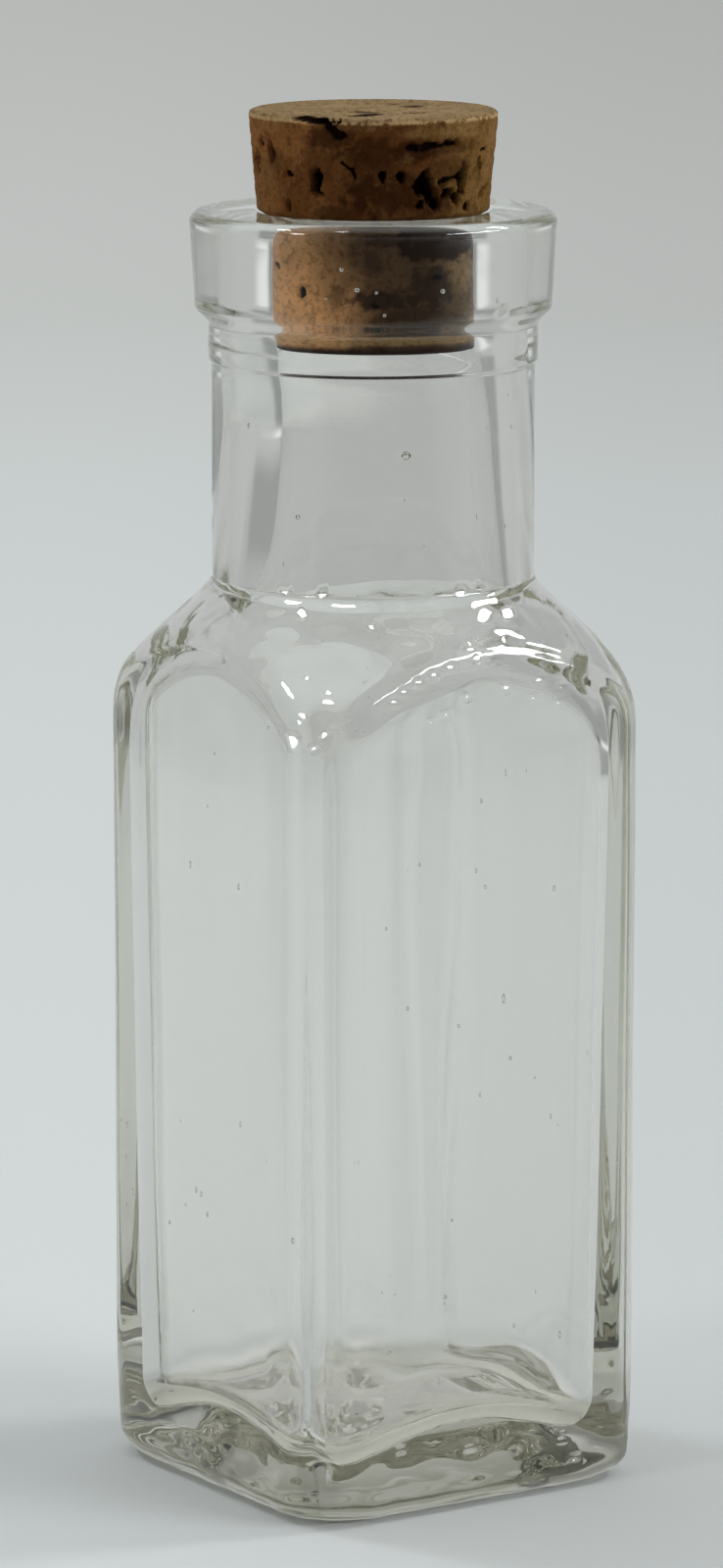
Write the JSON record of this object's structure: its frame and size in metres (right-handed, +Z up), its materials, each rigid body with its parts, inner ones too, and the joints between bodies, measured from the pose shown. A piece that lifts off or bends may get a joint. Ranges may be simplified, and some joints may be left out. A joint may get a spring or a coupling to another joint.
{
  "type": "pill bottle",
  "caption": "Small square glass pill bottle with narrow flat corners, arched side panels, a round neck with a thick stepped lip, and a tapered cork stopper in its mouth.",
  "frame": {"origin": "middle of the flat face that the bottle stands on", "axes": "+Z up along the axis of the neck and the cork, +X and +Y square to two of the flat sides"},
  "size_m": [0.0192, 0.0192, 0.065],
  "materials": {
    "clear_glass": "clear soda-lime glass with a faint grey-green tint where it is thick, slightly wavy, with a few small bubbles and specks",
    "natural_cork": "natural bark cork, orange-brown sides with dark pores, a paler tan top and chipped edges"
  },
  "bodies": {
    "bottle": {"glass_bottle": "clear_glass"},
    "stopper": {"cork_stopper": "natural_cork"}
  },
  "joints": [
    {"name": "cork_pull", "type": "slide", "parent": "bottle", "child": "stopper", "axis": [0, 0, 1], "range_m": [0, 0.009]}
  ]
}
